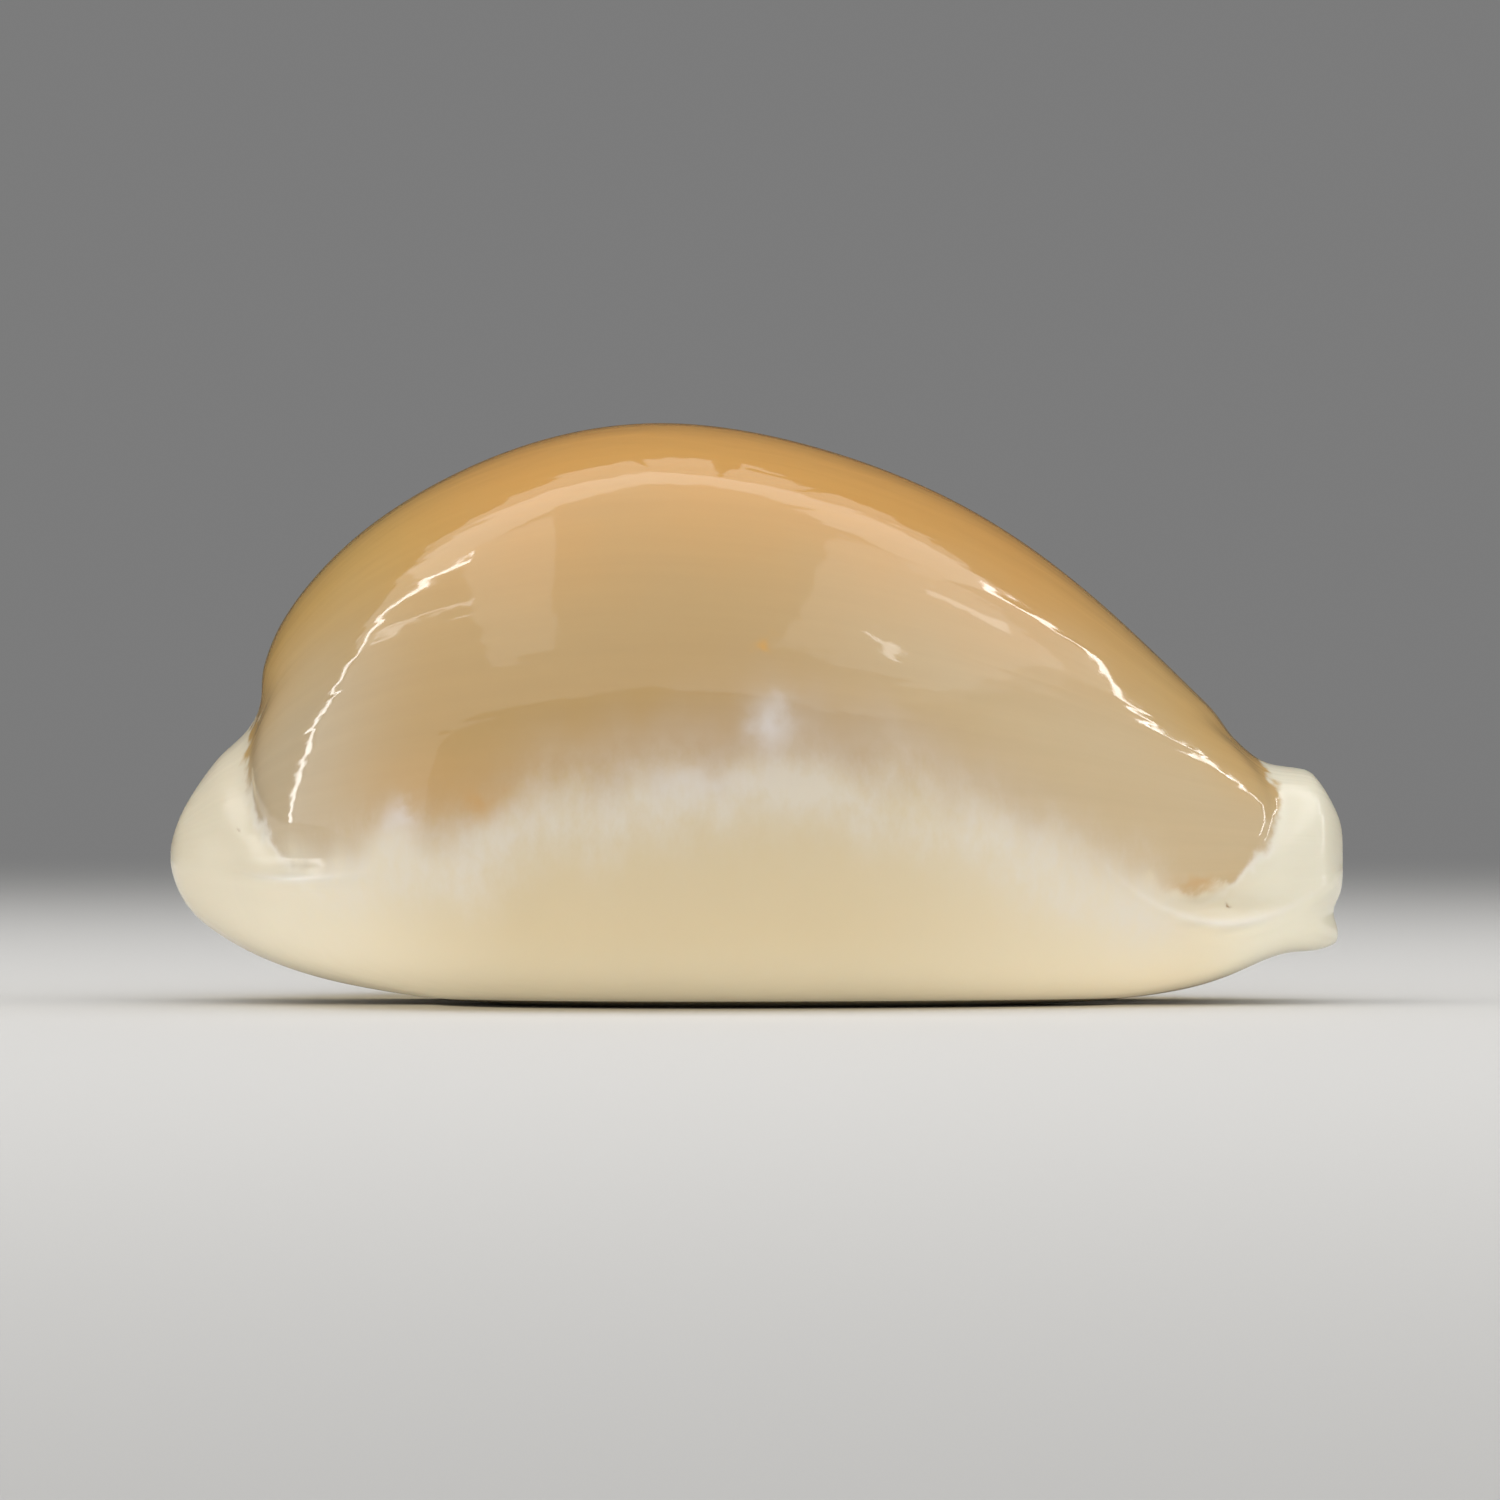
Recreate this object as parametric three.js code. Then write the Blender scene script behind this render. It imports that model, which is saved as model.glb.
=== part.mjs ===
// A camel cowrie: one glossy seashell, hollow behind the narrow toothed slit in its base.
// Units are millimetres. +X is the narrow front end, +Z the domed back and -Y the outer lip.
// The shell rests on its base at z = 0.

import * as THREE from 'three';
import { mergeVertices } from 'three/addons/utils/BufferGeometryUtils.js';

// Overall size
const LENGTH = 70;
const HALF_LENGTH = LENGTH / 2;

// The surface runs through these lines, one point a station, from the rim of the rear notch
// to the rim of the front notch. Along the back: [x, z].
const BACK_LINE = [
  [-33.4, 11.2], [-32.8, 13.1], [-31.45, 15.5], [-29.95, 18.1], [-28.9, 21.7], [-26.1, 25.8],
  [-21.3, 29.8], [-14.0, 33.3], [-5.5, 34.7], [3.5, 33.3], [12.0, 30.0], [19.0, 25.35],
  [24.6, 20.3], [28.4, 16.55], [31.0, 14.4], [33.1, 13.9], [33.95, 13.0],
];

// Along the widest part of each side: [x, half width, z]
const MARGIN_LINE = [
  [-HALF_LENGTH, 3.7, 8.6], [-34.4, 5.5, 8.6], [-32.9, 7.5, 8.7], [-30.9, 9.9, 8.8],
  [-28.5, 13.2, 9.0], [-25.0, 17.0, 9.2], [-20.0, 20.3, 9.3], [-13.0, 22.1, 9.4],
  [-5.5, 22.5, 9.4], [3.5, 21.4, 9.2], [12.0, 18.7, 8.9], [19.0, 15.3, 8.6],
  [24.7, 12.0, 8.3], [28.8, 9.5, 8.2], [31.6, 7.8, 8.3], [33.7, 6.4, 8.6], [HALF_LENGTH, 4.2, 8.9],
];

// Along the base beside the slit: [x, z]
const BASE_LINE = [
  [-34.1, 6.1], [-33.1, 4.9], [-31.2, 3.55], [-28.8, 2.4], [-25.8, 1.45], [-22.3, 0.75],
  [-17.8, 0.18], [-12.0, -0.13], [-5.0, -0.25], [3.5, -0.25], [12.0, -0.13], [18.5, 0.08],
  [24.0, 0.57], [28.0, 1.55], [30.9, 2.75], [33.1, 3.0], [34.7, 2.95],
];
// The part of the base that would lie lower than this is worn into the flat that the shell rests on
const FLOOR = 0;

// Across the shell: [y of the back and of the middle between the margins, y of the slit, its half width]
const MIDDLE_LINE = [
  [1.8, 1.9, 1.5], [1.7, 1.9, 1.6], [1.4, 1.8, 1.6], [1.0, 1.5, 1.6], [0.6, 1.1, 1.5], [0.3, 0.5, 1.4],
  [0.1, -0.3, 1.3], [0.0, -1.2, 1.2], [0.0, -1.9, 1.2], [0.0, -2.2, 1.25], [0.0, -2.2, 1.35],
  [-0.1, -1.9, 1.5], [-0.2, -1.4, 1.6], [-0.4, -1.0, 1.6], [-0.5, -0.7, 1.7], [-0.6, -0.6, 1.8],
  [-0.6, -0.6, 1.9],
];

// Wall thickness: [under the back, inside the margins, above the base]
const WALL_LINE = [
  [2.0, 1.9, 1.7], [2.7, 2.7, 2.4], [3.6, 3.7, 3.2], [4.0, 4.5, 3.9], [3.5, 4.6, 4.3], [2.7, 4.3, 4.4],
  [2.1, 3.8, 4.3], [1.9, 3.4, 4.1], [1.8, 3.2, 4.0], [1.8, 3.2, 4.0], [1.9, 3.2, 4.0], [2.2, 3.4, 4.0],
  [2.7, 3.6, 3.8], [3.2, 3.6, 3.3], [3.1, 3.3, 2.6], [2.6, 2.8, 2.0], [2.0, 2.1, 1.5],
];

// The inner whorls thicken the columella side of the wall along the middle of the shell
const WHORL_THICKNESS = 7;
const WHORL_RISE = 4;
const WHORL_MIDDLE = 7.5;
const WHORL_SPREAD = 3.6;

// How late a section leans from its margin to the back line. A late lean keeps the end lobes full
// beside their notch.
const BACK_LEAN = 4;

// Fullness of the section: 0 is an ellipse, more is squarer
const BACK_FULLNESS = 0.03;
const BASE_FULLNESS = 0.24;

// Rounding of the free edges
const LIP_ROUNDING = 1.9;
const LARGEST_ROUNDED_SHARE = 0.6;
const RIM_ROUNDING = 1.3;

// Teeth: ridges across both lips, left standing between cut valleys
const TEETH = 22;
const TEETH_REAR = -27.5;
const TEETH_FRONT = 29.5;
const TOOTH_DEPTH = 0.75;
const VALLEY_SHARPNESS = 2;
const LIP_TOOTH_REACH = 4.2;
const COLUMELLA_TOOTH_REACH = 3.4;
const INNER_TOOTH_REACH = 2.2;
// Towards both ends of the slit the teeth grow shorter, by this share of their reach. The distance from
// the middle of the row, where 1 is its end, says where that starts and where it is complete.
const TOOTH_SHORTENING = 0.56;
const SHORTENING_START = 0.25;
const SHORTENING_END = 0.62;

// Relief of the outer face, placed in the side view. A furrow's line bends in x as it leaves z,
// and a ridge's line bends in z as it leaves x.
// The furrow between the dome and the rear lobe
const REAR_FURROW = {
  x: -30.6, z: 14.6, bend: 0.073, depth: 0.55, width: 1.0, bottom: 8.5, top: 20.5, fade: 3,
};
// The step between the dome and the front flange
const FRONT_FURROW = {
  x: 31.15, z: 11.8, bend: -0.14, depth: 0.35, width: 0.9, bottom: 5.5, top: 18, fade: 2,
};
// Dents between the dome and the outer lip's raised margin
const REAR_DENT = { x: -27.3, z: 8.7, length: 2.6, height: 1.0, depth: 0.6 };
const FRONT_DENT = { x: 27.4, z: 6.2, length: 3.6, height: 1.0, depth: 0.85 };
// Raised margins of the lip at both ends
const REAR_RIDGE = { x: -26.7, z: 7.3, bend: 0.012, height: 0.4, width: 0.6, reach: 4.5 };
const FRONT_RIDGE = { x: 27.8, z: 4.7, bend: 0.06, height: 0.5, width: 0.6, reach: 6 };

// The nick above the small spout that the front ends in: how deep and tall it is, and between which
// x it comes in
const FRONT_NICK = { z: 5.5, height: 0.9, depth: 0.45, start: 31, full: 34.3 };

// Mesh density
const ROWS_PER_TOOTH = 3;
const END_ROWS = 5;
const RIM_ROWS = 3;
const ROUND_COLUMNS = 3;
const BACK_COLUMNS = 6;
const SEARCH_STEPS = 40;
// Where the base's columns lie, from the lip's rounded edge at 0 to the margin at 1
const BASE_SHARES = [0, 0.075, 0.15, 0.35, 0.58, 0.8];

const SHELL_COLOUR = 0xd8c29a;
const SHELL_ROUGHNESS = 0.12;
const SHELL_METALNESS = 0;

// A smooth curve through evenly numbered values, with no bend at its two ends
function smoothLine(values) {
  const last = values.length - 1;
  const ratio = new Array(last + 1).fill(0);
  const bend = new Array(last + 1).fill(0);
  for (let i = 1; i < last; i++) {
    const pivot = 4 - ratio[i - 1];
    const turn = 6 * (values[i + 1] - 2 * values[i] + values[i - 1]);
    ratio[i] = 1 / pivot;
    bend[i] = (turn - bend[i - 1]) / pivot;
  }
  for (let i = last - 1; i > 0; i--) {
    bend[i] -= ratio[i] * bend[i + 1];
  }
  return (place) => {
    const i = Math.min(last - 1, Math.max(0, Math.floor(place)));
    const t = place - i;
    const r = 1 - t;
    const straight = r * values[i] + t * values[i + 1];
    return straight + ((r ** 3 - r) * bend[i] + (t ** 3 - t) * bend[i + 1]) / 6;
  };
}

function smoothLines(points) {
  return points[0].map((_, column) => smoothLine(points.map((point) => point[column])));
}

const [backX, backZ] = smoothLines(BACK_LINE);
const [marginX, marginWidth, marginZ] = smoothLines(MARGIN_LINE);
const [baseX, baseZ] = smoothLines(BASE_LINE);
const [middleY, slitY, slitHalf] = smoothLines(MIDDLE_LINE);
const [backWall, marginWall, baseWall] = smoothLines(WALL_LINE);
const LAST_STATION = BACK_LINE.length - 1;

function smoothStep(low, high, value) {
  const t = Math.min(1, Math.max(0, (value - low) / (high - low)));
  return t * t * (3 - 2 * t);
}

function bell(value, middle, spread) {
  return Math.exp(-(((value - middle) / spread) ** 2));
}

// One point of the outer or inner face. side is -1 for the outer lip and 1 for the columella.
// part is 'base' or 'back', and share runs from 0 at the slit (or margin) to 1 at the margin (or back).
function facePoint(station, side, part, share, inner) {
  const whorl = side > 0 ? bell(station, WHORL_MIDDLE, WHORL_SPREAD) : 0;
  const width = marginWidth(station) - (inner ? marginWall(station) + WHORL_THICKNESS * whorl : 0);
  const middle = marginZ(station) + (inner ? WHORL_RISE * whorl : 0);
  const marginY = middleY(station) + side * width;
  if (part === 'back') {
    const angle = share * Math.PI / 2;
    const rise = Math.sin(angle);
    const run = Math.cos(angle);
    const top = backZ(station) - (inner ? backWall(station) : 0);
    return new THREE.Vector3(
      marginX(station) + (backX(station) - marginX(station)) * rise ** BACK_LEAN,
      middleY(station) + side * width * run * (1 + BACK_FULLNESS * rise ** 2),
      middle + (top - middle) * rise * (1 + BACK_FULLNESS * run ** 2),
    );
  }
  const angle = (1 - share) * Math.PI / 2;
  const drop = Math.sin(angle);
  const run = Math.cos(angle) * (1 + BASE_FULLNESS * drop ** 2);
  const edgeY = slitY(station) + side * slitHalf(station);
  const bottom = baseZ(station) + (inner ? baseWall(station) : 0);
  const fall = drop * (1 + BASE_FULLNESS * Math.cos(angle) ** 2);
  return new THREE.Vector3(
    marginX(station) + (baseX(station) - marginX(station)) * drop ** 2,
    edgeY + (marginY - edgeY) * run,
    middle + (bottom - middle) * fall,
  );
}

// How much of the base, from the slit outwards, is the rounded edge of the lip
function roundedShare(station) {
  const reach = (marginWidth(station) - slitHalf(station)) * (1 + BASE_FULLNESS) * Math.PI / 2;
  return Math.min(LARGEST_ROUNDED_SHARE, LIP_ROUNDING / reach);
}

// The columns of one face, from the outer lip's edge over the back to the columella's edge.
// Each has its side, part, share and the roundness of the lip's edge there, from 0 to 1.
function faceColumns(station) {
  const rounded = roundedShare(station);
  const half = [];
  for (let i = 0; i < ROUND_COLUMNS; i++) {
    const angle = i / ROUND_COLUMNS * Math.PI / 2;
    half.push({ part: 'base', share: rounded * (1 - Math.cos(angle)), swell: Math.sin(angle) });
  }
  for (const along of BASE_SHARES) {
    half.push({ part: 'base', share: rounded + (1 - rounded) * along, swell: 1 });
  }
  for (let i = 0; i < BACK_COLUMNS; i++) {
    half.push({ part: 'back', share: i / BACK_COLUMNS, swell: 1 });
  }
  const top = { part: 'back', share: 1, swell: 1, side: 1 };
  const lipSide = half.map((column) => ({ ...column, side: -1 }));
  const columellaSide = half.map((column) => ({ ...column, side: 1 })).reverse();
  return [...lipSide, top, ...columellaSide];
}

// How far the wall has opened to its full thickness, from 0 at a notch's rim to 1
function rimSwell(station) {
  const nearest = Math.min(station, LAST_STATION - station);
  const t = Math.max(0, 1 - nearest / RIM_ROUNDING);
  return Math.sqrt(1 - t * t);
}

// The closed loop round the wall at one station: the outer face, then back along the inner one
function wallLoop(station) {
  const outer = [];
  const inner = [];
  for (const { side, part, share, swell } of faceColumns(station)) {
    const outside = facePoint(station, side, part, share, false);
    const inside = facePoint(station, side, part, share, true);
    const middle = outside.clone().add(inside).multiplyScalar(0.5);
    const opening = swell * rimSwell(station);
    const onBase = part === 'base';
    outer.push({ point: middle.clone().lerp(outside, opening), side, onBase, inner: false });
    inner.push({ point: middle.clone().lerp(inside, opening), side, onBase, inner: true });
  }
  return [...outer, ...inner.slice(1, -1).reverse()];
}

// Depth of the valleys between the teeth, in front of and behind the slit's edge
function toothValley(station, place) {
  if (!place.onBase) return 0;
  const turns = (baseX(station) - TEETH_REAR) / (TEETH_FRONT - TEETH_REAR) * TEETH;
  if (turns < 0 || turns > TEETH) return 0;
  const fromMiddle = Math.abs(2 * turns / TEETH - 1);
  const shortening = TOOTH_SHORTENING * smoothStep(SHORTENING_START, SHORTENING_END, fromMiddle);
  const outerReach = place.side < 0 ? LIP_TOOTH_REACH : COLUMELLA_TOOTH_REACH;
  const reach = place.inner ? INNER_TOOTH_REACH : outerReach * (1 - shortening);
  const fromEdge = Math.abs(place.point.y - slitY(station)) - slitHalf(station);
  const valley = ((1 + Math.cos(2 * Math.PI * turns)) / 2) ** VALLEY_SHARPNESS;
  return TOOTH_DEPTH * valley * (1 - smoothStep(reach / 2, reach, fromEdge));
}

function furrow({ x, z, bend, depth, width, bottom, top, fade }, point) {
  const lineX = x + bend * (point.z - z) ** 2;
  const ends = smoothStep(bottom, bottom + fade, point.z) * smoothStep(top, top - fade, point.z);
  return -depth * bell(point.x, lineX, width) * ends;
}

function dent({ x, z, length, height, depth }, point) {
  return -depth * bell(point.x, x, length) * bell(point.z, z, height);
}

function ridge({ x, z, bend, height, width, reach }, point) {
  const lineZ = z + bend * (point.x - x) ** 2;
  return height * bell(point.z, lineZ, width) * bell(point.x, x, reach);
}

// How far the front end is drawn back at a point, in x
function nick({ z, height, depth, start, full }, point) {
  return depth * bell(point.z, z, height) * smoothStep(start, full, point.x);
}

// How far the surface stands out from the smooth form at a place, along its normal
function relief(station, place) {
  const valley = -toothValley(station, place);
  if (place.inner) return valley;
  const furrows = furrow(REAR_FURROW, place.point) + furrow(FRONT_FURROW, place.point);
  const dents = dent(REAR_DENT, place.point) + dent(FRONT_DENT, place.point);
  const ridges = ridge(REAR_RIDGE, place.point) + ridge(FRONT_RIDGE, place.point);
  return valley + (furrows + dents + ridges) * rimSwell(station);
}

// The outward direction at one place of the grid, from its neighbours along and around the wall
function outward(loops, row, column) {
  const around = loops[row].length;
  const along = loops[row + 1][column].point.clone().sub(loops[row - 1][column].point);
  const ahead = loops[row][(column + 1) % around].point;
  const behind = loops[row][(column + around - 1) % around].point;
  return along.cross(ahead.clone().sub(behind)).normalize();
}

// The station where the base line passes a given x
function stationAt(x) {
  let low = 0;
  let high = LAST_STATION;
  for (let i = 0; i < SEARCH_STEPS; i++) {
    const middle = (low + high) / 2;
    if (baseX(middle) < x) low = middle;
    else high = middle;
  }
  return (low + high) / 2;
}

// Rows of the mesh: close together round the rims, then evenly to the teeth, then in step with the teeth
function rowStations() {
  const rear = [];
  for (let i = 0; i < RIM_ROWS; i++) {
    rear.push(RIM_ROUNDING * (1 - Math.cos(i / RIM_ROWS * Math.PI / 2)));
  }
  const teethStart = stationAt(TEETH_REAR);
  const teethEnd = stationAt(TEETH_FRONT);
  const front = rear.map((place) => LAST_STATION - place).reverse();
  for (let i = 0; i < END_ROWS; i++) {
    rear.push(RIM_ROUNDING + (teethStart - RIM_ROUNDING) * i / END_ROWS);
  }
  const frontStart = LAST_STATION - RIM_ROUNDING;
  for (let i = 0; i < END_ROWS; i++) {
    front.unshift(frontStart + (teethEnd - frontStart) * i / END_ROWS);
  }
  const toothed = [];
  const steps = TEETH * ROWS_PER_TOOTH;
  for (let i = 0; i <= steps; i++) {
    toothed.push(stationAt(TEETH_REAR + (TEETH_FRONT - TEETH_REAR) * i / steps));
  }
  return [...rear, ...toothed, ...front];
}

function shellGeometry() {
  const stations = rowStations();
  const loops = stations.map(wallLoop);
  const around = loops[0].length;
  const positions = [];
  loops.forEach((loop, row) => {
    const onRim = row === 0 || row === loops.length - 1;
    loop.forEach((place, column) => {
      const point = place.point.clone();
      if (!onRim) point.addScaledVector(outward(loops, row, column), relief(stations[row], place));
      positions.push(point.x - nick(FRONT_NICK, place.point), point.y, Math.max(FLOOR, point.z));
    });
  });
  const faces = [];
  for (let row = 0; row + 1 < loops.length; row++) {
    for (let column = 0; column < around; column++) {
      const next = (column + 1) % around;
      const a = row * around + column;
      const b = row * around + next;
      const c = (row + 1) * around + next;
      const d = (row + 1) * around + column;
      faces.push(a, c, b, a, d, c);
    }
  }
  const geometry = new THREE.BufferGeometry();
  geometry.setAttribute('position', new THREE.Float32BufferAttribute(positions, 3));
  geometry.setIndex(faces);
  return mergeVertices(geometry);
}

const material = new THREE.MeshStandardMaterial({
  color: SHELL_COLOUR,
  roughness: SHELL_ROUGHNESS,
  metalness: SHELL_METALNESS,
});

const shell = new THREE.Mesh(shellGeometry(), material);
shell.name = 'shell';

const cowrie = new THREE.Group();
cowrie.add(shell);

export default cowrie;
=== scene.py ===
import math
import bpy
import numpy as np
from mathutils import Matrix, Vector


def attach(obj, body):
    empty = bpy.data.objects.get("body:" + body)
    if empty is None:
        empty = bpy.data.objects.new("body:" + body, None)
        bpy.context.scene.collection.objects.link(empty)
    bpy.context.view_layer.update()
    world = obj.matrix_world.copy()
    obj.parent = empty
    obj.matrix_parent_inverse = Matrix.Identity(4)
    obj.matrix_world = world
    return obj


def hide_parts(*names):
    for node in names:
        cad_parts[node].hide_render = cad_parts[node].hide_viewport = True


# A camel cowrie: the finished surface of one glossy seashell, with its markings, floor, lights and camera.
# Shapes are in millimetres and are turned into metres when the mesh is made.
# +X is the narrow front end, +Z the domed back and -Y the outer lip.

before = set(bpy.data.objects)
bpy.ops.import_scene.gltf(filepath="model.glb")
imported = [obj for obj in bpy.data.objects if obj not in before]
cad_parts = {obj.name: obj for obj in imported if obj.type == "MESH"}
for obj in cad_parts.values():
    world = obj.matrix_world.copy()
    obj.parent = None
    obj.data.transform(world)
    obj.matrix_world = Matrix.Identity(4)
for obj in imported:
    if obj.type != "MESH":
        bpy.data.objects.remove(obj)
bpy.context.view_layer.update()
MM = 0.001

# Lines that the surface runs through, one point a station, from the rim of the rear notch to the front one.
# Along the back: x, z
BACK_LINE = [
    (-33.4, 11.2), (-32.8, 13.1), (-31.45, 15.5), (-29.95, 18.1), (-28.9, 21.7), (-26.1, 25.8),
    (-21.3, 29.8), (-14.0, 33.3), (-5.5, 34.7), (3.5, 33.3), (12.0, 30.0), (19.0, 25.35),
    (24.6, 20.3), (28.4, 16.55), (31.0, 14.4), (33.1, 13.9), (33.95, 13.0),
]
# Along the widest part of each side: x, half width, z
MARGIN_LINE = [
    (-35.0, 3.7, 8.6), (-34.4, 5.5, 8.6), (-32.9, 7.5, 8.7), (-30.9, 9.9, 8.8),
    (-28.5, 13.2, 9.0), (-25.0, 17.0, 9.2), (-20.0, 20.3, 9.3), (-13.0, 22.1, 9.4),
    (-5.5, 22.5, 9.4), (3.5, 21.4, 9.2), (12.0, 18.7, 8.9), (19.0, 15.3, 8.6),
    (24.7, 12.0, 8.3), (28.8, 9.5, 8.2), (31.6, 7.8, 8.3), (33.7, 6.4, 8.6), (35.0, 4.2, 8.9),
]
# Along the base beside the slit: x, z
BASE_LINE = [
    (-34.1, 6.1), (-33.1, 4.9), (-31.2, 3.55), (-28.8, 2.4), (-25.8, 1.45), (-22.3, 0.75),
    (-17.8, 0.18), (-12.0, -0.13), (-5.0, -0.25), (3.5, -0.25), (12.0, -0.13), (18.5, 0.08),
    (24.0, 0.57), (28.0, 1.55), (30.9, 2.75), (33.1, 3.0), (34.7, 2.95),
]
# Across the shell: y of the middle, y of the slit, the slit's half width
MIDDLE_LINE = [
    (1.8, 1.9, 1.5), (1.7, 1.9, 1.6), (1.4, 1.8, 1.6), (1.0, 1.5, 1.6), (0.6, 1.1, 1.5), (0.3, 0.5, 1.4),
    (0.1, -0.3, 1.3), (0.0, -1.2, 1.2), (0.0, -1.9, 1.2), (0.0, -2.2, 1.25), (0.0, -2.2, 1.35),
    (-0.1, -1.9, 1.5), (-0.2, -1.4, 1.6), (-0.4, -1.0, 1.6), (-0.5, -0.7, 1.7), (-0.6, -0.6, 1.8),
    (-0.6, -0.6, 1.9),
]
# Wall thickness: under the back, inside the margins, above the base
WALL_LINE = [
    (2.0, 1.9, 1.7), (2.7, 2.7, 2.4), (3.6, 3.7, 3.2), (4.0, 4.5, 3.9), (3.5, 4.6, 4.3), (2.7, 4.3, 4.4),
    (2.1, 3.8, 4.3), (1.9, 3.4, 4.1), (1.8, 3.2, 4.0), (1.8, 3.2, 4.0), (1.9, 3.2, 4.0), (2.2, 3.4, 4.0),
    (2.7, 3.6, 3.8), (3.2, 3.6, 3.3), (3.1, 3.3, 2.6), (2.6, 2.8, 2.0), (2.0, 2.1, 1.5),
]
LAST_STATION = len(BACK_LINE) - 1
# Places that a given x is looked up among, along the base line
STATION_SAMPLES = 4001

# The inner whorls thicken the columella side of the wall along the middle of the shell
WHORL_THICKNESS = 7.0
WHORL_RISE = 4.0
WHORL_MIDDLE = 7.5
WHORL_SPREAD = 3.6

# How late a section leans from its margin to the back line, and how much squarer than an ellipse it is
BACK_LEAN = 4
BACK_FULLNESS = 0.03
BASE_FULLNESS = 0.24

# Rounding of the free edges, and the softness of the worn flat under the base
LIP_ROUNDING = 1.9
LARGEST_ROUNDED_SHARE = 0.6
RIM_ROUNDING = 1.3
FLAT_SOFTNESS = 0.02

# The fine mesh bulges a micrometre past the coarse solid's corners, so it is drawn in by this factor
INSIDE_FIT = 0.9999

# Teeth: ridges across both lips, left standing between cut valleys
TEETH = 22
TEETH_REAR = -27.5
TEETH_FRONT = 29.5
TOOTH_DEPTH = 0.75
VALLEY_SHARPNESS = 2
LIP_TOOTH_REACH = 4.2
COLUMELLA_TOOTH_REACH = 3.4
INNER_TOOTH_REACH = 2.2
# Towards both ends of the slit the teeth grow shorter, by this share of their reach
TOOTH_SHORTENING = 0.56
SHORTENING_START = 0.25
SHORTENING_END = 0.62

# Relief of the outer face, placed in the side view
REAR_FURROW = dict(x=-30.6, z=14.6, bend=0.073, depth=0.55, width=1.0, bottom=8.5, top=20.5, fade=3)
FRONT_FURROW = dict(x=31.15, z=11.8, bend=-0.14, depth=0.35, width=0.9, bottom=5.5, top=18, fade=2)
REAR_DENT = dict(x=-27.3, z=8.7, length=2.6, height=1.0, depth=0.6)
FRONT_DENT = dict(x=27.4, z=6.2, length=3.6, height=1.0, depth=0.85)
REAR_RIDGE = dict(x=-26.7, z=7.3, bend=0.012, height=0.4, width=0.6, reach=4.5)
FRONT_RIDGE = dict(x=27.8, z=4.7, bend=0.06, height=0.5, width=0.6, reach=6)

# The nick above the small spout that the front ends in
FRONT_NICK = dict(z=5.5, height=0.9, depth=0.45, start=31, full=34.3)

# Mesh density
RIM_ROWS = 12
END_ROWS = 56
ROWS_PER_TOOTH = 16
ROUND_COLUMNS = 8
BASE_COLUMNS = 24
BACK_COLUMNS = 30
BASE_COLUMN_GROWTH = 1.35

# The camera looks straight at the outer lip's side from far off, as the photograph does
VIEW_WIDTH = 90.0
VIEW_MIDDLE = (-0.3, 0.0, 15.1)
CAMERA_ELEVATION = math.radians(0.0)
LENS = 200.0
SENSOR = 36.0
CLIP_START = 0.01

# The shell's markings, in the side view
HALF_LENGTH = 35.0
TALLEST = 35.0
MARGIN_HEIGHT = 9.0
MEAN_RADIUS = 22.0
# Height of the back along the length, and of the edge where the dome's glaze meets the cream margin: x, z
BACK_HEIGHTS = [(-35.0, 12.0)] + BACK_LINE[2:14] + [(35.0, 13.5)]
GLAZE_EDGE = [
    (-35.0, 9.0), (-26.1, 9.0), (-23.4, 9.4), (-21.3, 10.3), (-18.9, 10.5), (-15.3, 10.8), (-12.9, 12.1),
    (-10.0, 13.1), (-3.3, 13.8), (0.9, 14.9), (6.3, 13.9), (11.1, 12.6), (14.7, 11.0), (18.3, 9.3),
    (22.5, 7.4), (24.5, 7.0), (28.0, 7.1), (35.0, 7.1),
]
REAR_LOBE_X = -30.15
REAR_LOBE_TOP = 17.0
FRONT_FLANGE_X = 31.15
FRONT_FLANGE_TOP = 14.2
# A span is where a soft change starts and where it is full, in millimetres unless its comment says otherwise
LIP_SIDE_SPAN = (1.0, -1.0)

# Noises for places in millimetres. A coordinate times a factor below 1 draws a noise out that way, as along
# the shell for the noises of the growth lines, which each have a layer of their own
STREAKS = dict(x_factor=0.045, layer=0.0, scale=0.55, detail=5.0, roughness=0.62)
SWELLS = dict(x_factor=0.12, layer=7.0, scale=0.5, detail=1.0, roughness=0.5)
TERRACES = dict(x_factor=0.2, layer=3.0, scale=0.55, detail=1.0, roughness=0.5)
CLOUDS = dict(scale=0.11, detail=2.0, roughness=0.5)
MOTTLE = dict(scale=0.9, detail=4.0, roughness=0.6)
CHIPS = dict(scale=0.8, detail=1.0, roughness=0.5)
EDGE_LOBES = dict(scale=0.34, detail=1.0, roughness=0.4)
FIBRES = dict(scale=0.75, detail=3.0, roughness=0.6)
CALLUS_BUMPS = dict(scale=0.35, detail=2.0, roughness=0.5)
EDGE_LOBE_FACTORS = (1.0, 0.6, 0.5)
FIBRE_FACTORS = (1.7, 1.7, 1.0)
NOISE_MEAN = 0.5

# How far the noises move the glaze's edge up and down, how soft it is along the side, how crisp in the front
# hollow, and where along the shell it turns crisp
EDGE_LOBE_SWING = 3.4
FIBRE_SWING = 1.2
SOFT_EDGE_SPAN = (-2.0, 1.2)
CRISP_EDGE_SPAN = (-0.3, 0.5)
CRISPNESS_SPAN = (21.0, 26.0)

# How far the noises fray the edges of the end lobes, and how soft these edges are
MOTTLE_FRAY = 0.9
CHIP_FRAY = 1.4
LOBE_EDGE_SPAN = (-0.2, 0.35)

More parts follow.
